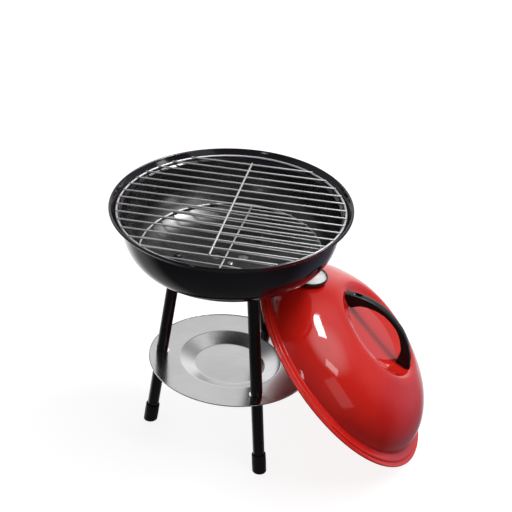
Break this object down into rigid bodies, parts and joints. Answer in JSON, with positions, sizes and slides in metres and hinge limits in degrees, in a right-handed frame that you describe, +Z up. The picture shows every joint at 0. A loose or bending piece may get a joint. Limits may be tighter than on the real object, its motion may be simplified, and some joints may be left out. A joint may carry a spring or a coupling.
{
  "type": "portable tabletop charcoal grill",
  "caption": "Round kettle grill on three splayed tube legs with a wire cooking grate, a charcoal grate, an ash plate and a domed lid with handle and thermometer.",
  "frame": {"origin": "middle of the whole footprint, on the surface that the grill and the leaning lid stand on", "axes": "+Z up; +X from the grill towards the lid that leans at its side; the front leg points to -Y, towards a person who looks at it"},
  "size_m": [0.4903, 0.377, 0.4059],
  "materials": {
    "black_enamel": "gloss",
    "red_enamel": "gloss",
    "leg_black": "gloss",
    "thermometer_black": "satin",
    "chrome_wire": "polished",
    "ash_sheet": "brushed",
    "zinc_steel": "satin",
    "cap_black": "matte",
    "handle_plastic": "satin",
    "dial_white": "satin",
    "needle_black": "matte",
    "lens_glass": "polished",
    "bimetal": "satin"
  },
  "bodies": {
    "stand": {"fire_bowl": "black_enamel", "ash_plate": "ash_sheet", "damper_rivet": "zinc_steel", "leg_front": "leg_black", "leg_left": "leg_black", "leg_rear": "leg_black", "foot_cap_front": "cap_black", "foot_cap_left": "cap_black", "foot_cap_rear": "cap_black", "leg_plug_front": "zinc_steel", "leg_plug_left": "zinc_steel", "leg_plug_rear": "zinc_steel", "leg_washer_front": "zinc_steel", "leg_washer_left": "zinc_steel", "leg_washer_rear": "zinc_steel", "leg_bolt_front": "zinc_steel", "leg_bolt_left": "zinc_steel", "leg_bolt_rear": "zinc_steel"},
    "cooking_grate": {"cooking_grate": "chrome_wire"},
    "charcoal_grate": {"charcoal_grate": "chrome_wire"},
    "damper": {"vent_damper": "zinc_steel"},
    "lid": {"lid_shell": "red_enamel", "lid_handle": "handle_plastic", "handle_screw_upper": "zinc_steel", "handle_screw_lower": "zinc_steel", "handle_nut_upper": "zinc_steel", "handle_nut_lower": "zinc_steel", "thermometer_case": "thermometer_black", "thermometer_dial": "dial_white", "thermometer_lens": "lens_glass", "thermometer_stem": "zinc_steel", "thermometer_nut": "zinc_steel", "thermometer_coil": "bimetal"},
    "needle": {"thermometer_needle": "needle_black", "thermometer_spindle": "zinc_steel"}
  },
  "joints": [
    {"name": "cooking_grate_lift", "type": "slide", "parent": "stand", "child": "cooking_grate", "axis": [0, 0, 1], "range_m": [0, 0.2]},
    {"name": "charcoal_grate_lift", "type": "slide", "parent": "stand", "child": "charcoal_grate", "axis": [0, 0, 1], "range_m": [0, 0.055]},
    {"name": "damper_turn", "type": "hinge", "parent": "stand", "child": "damper", "pos_m": [-0.0672, 0.003, 0.301], "axis": [0, 0, 1], "range_deg": [0, 45]},
    {"name": "lid_lift", "type": "slide", "parent": "stand", "child": "lid", "axis": [0.9659, 0, 0.2588], "range_m": [0, 0.25]},
    {"name": "needle_turn", "type": "hinge", "parent": "lid", "child": "needle", "pos_m": [0.0493, 0.01652, 0.27324], "axis": [0.1153, 0.0322, 0.9928], "range_deg": [-250, 0], "stiffness_Nm_per_rad": 0.0005}
  ]
}
